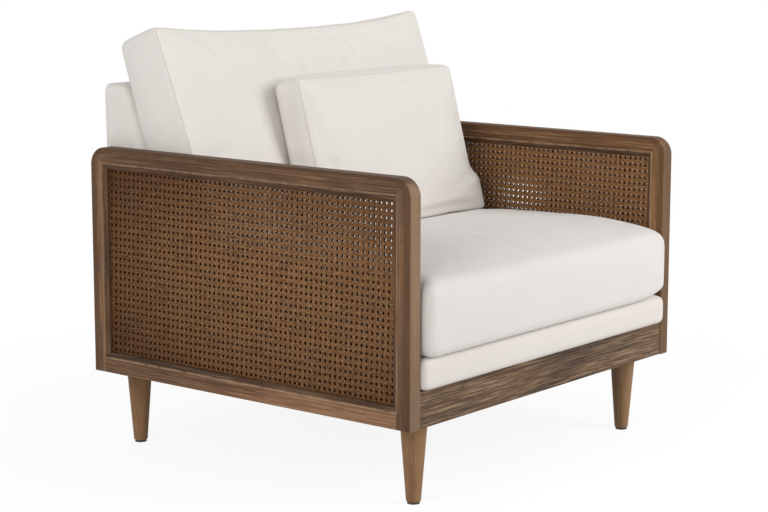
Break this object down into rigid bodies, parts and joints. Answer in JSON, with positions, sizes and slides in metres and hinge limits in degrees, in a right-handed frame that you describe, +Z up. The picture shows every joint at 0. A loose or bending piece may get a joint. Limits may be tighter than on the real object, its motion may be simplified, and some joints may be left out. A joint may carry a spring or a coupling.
{
  "type": "cane-sided lounge armchair",
  "caption": "Lounge armchair with caned wooden arm frames on tapered legs, an upholstered seat deck and back, a loose seat cushion, a loose back cushion and a lumbar pillow.",
  "frame": {"origin": "on the floor, under the middle of the chair's bounding box", "axes": "+X to the right seen from the front, -Y towards the front of the seat, +Z up"},
  "size_m": [0.88, 0.8346, 0.8478],
  "materials": {
    "frame_wood": "satin",
    "bead_wood": "satin",
    "leg_wood": "satin",
    "inner_wood": "matte",
    "cane": "satin",
    "linen": "matte",
    "pillow_linen": "matte",
    "webbing": "matte",
    "dust_cloth": "matte",
    "steel": "satin",
    "glide": "matte"
  },
  "bodies": {
    "chair_frame": {"arm_bolts": "steel", "back_bolts": "steel", "back_low_rail": "inner_wood", "back_padding": "linen", "back_panel": "linen", "back_top_rail": "inner_wood", "back_webbing": "webbing", "base_tenons": "inner_wood", "corner_blocks": "inner_wood", "cross_rail": "inner_wood", "dust_cover": "dust_cloth", "front_rail": "frame_wood", "left_arm_bottom_rail": "frame_wood", "left_arm_front_stile": "frame_wood", "left_arm_rear_stile": "frame_wood", "left_arm_tenons": "inner_wood", "left_arm_top_rail": "frame_wood", "left_back_post": "inner_wood", "left_inner_bead": "bead_wood", "left_inner_cane": "cane", "left_outer_bead": "bead_wood", "left_outer_cane": "cane", "left_side_rail": "inner_wood", "leg_front_left": "leg_wood", "leg_front_right": "leg_wood", "leg_glides": "glide", "leg_hanger_bolts": "steel", "leg_rear_left": "leg_wood", "leg_rear_right": "leg_wood", "rear_rail": "frame_wood", "right_arm_bottom_rail": "frame_wood", "right_arm_front_stile": "frame_wood", "right_arm_rear_stile": "frame_wood", "right_arm_tenons": "inner_wood", "right_arm_top_rail": "frame_wood", "right_back_post": "inner_wood", "right_inner_bead": "bead_wood", "right_inner_cane": "cane", "right_outer_bead": "bead_wood", "right_outer_cane": "cane", "right_side_rail": "inner_wood", "seat_deck": "linen", "seat_webbing_cross": "webbing", "seat_webbing_long": "webbing"},
    "seat_cushion_body": {"seat_cushion": "linen"},
    "back_cushion_body": {"back_cushion": "linen"},
    "pillow_body": {"lumbar_pillow": "pillow_linen"}
  },
  "joints": [
    {"name": "seat_cushion_lift", "type": "slide", "parent": "chair_frame", "child": "seat_cushion_body", "axis": [0, 0, 1], "range_m": [0, 0.34]},
    {"name": "back_cushion_lift", "type": "slide", "parent": "seat_cushion_body", "child": "back_cushion_body", "axis": [0, 0.3551, 0.9348], "range_m": [0, 0.25]},
    {"name": "pillow_lift", "type": "slide", "parent": "seat_cushion_body", "child": "pillow_body", "axis": [0, 0, 1], "range_m": [0, 0.22]}
  ]
}
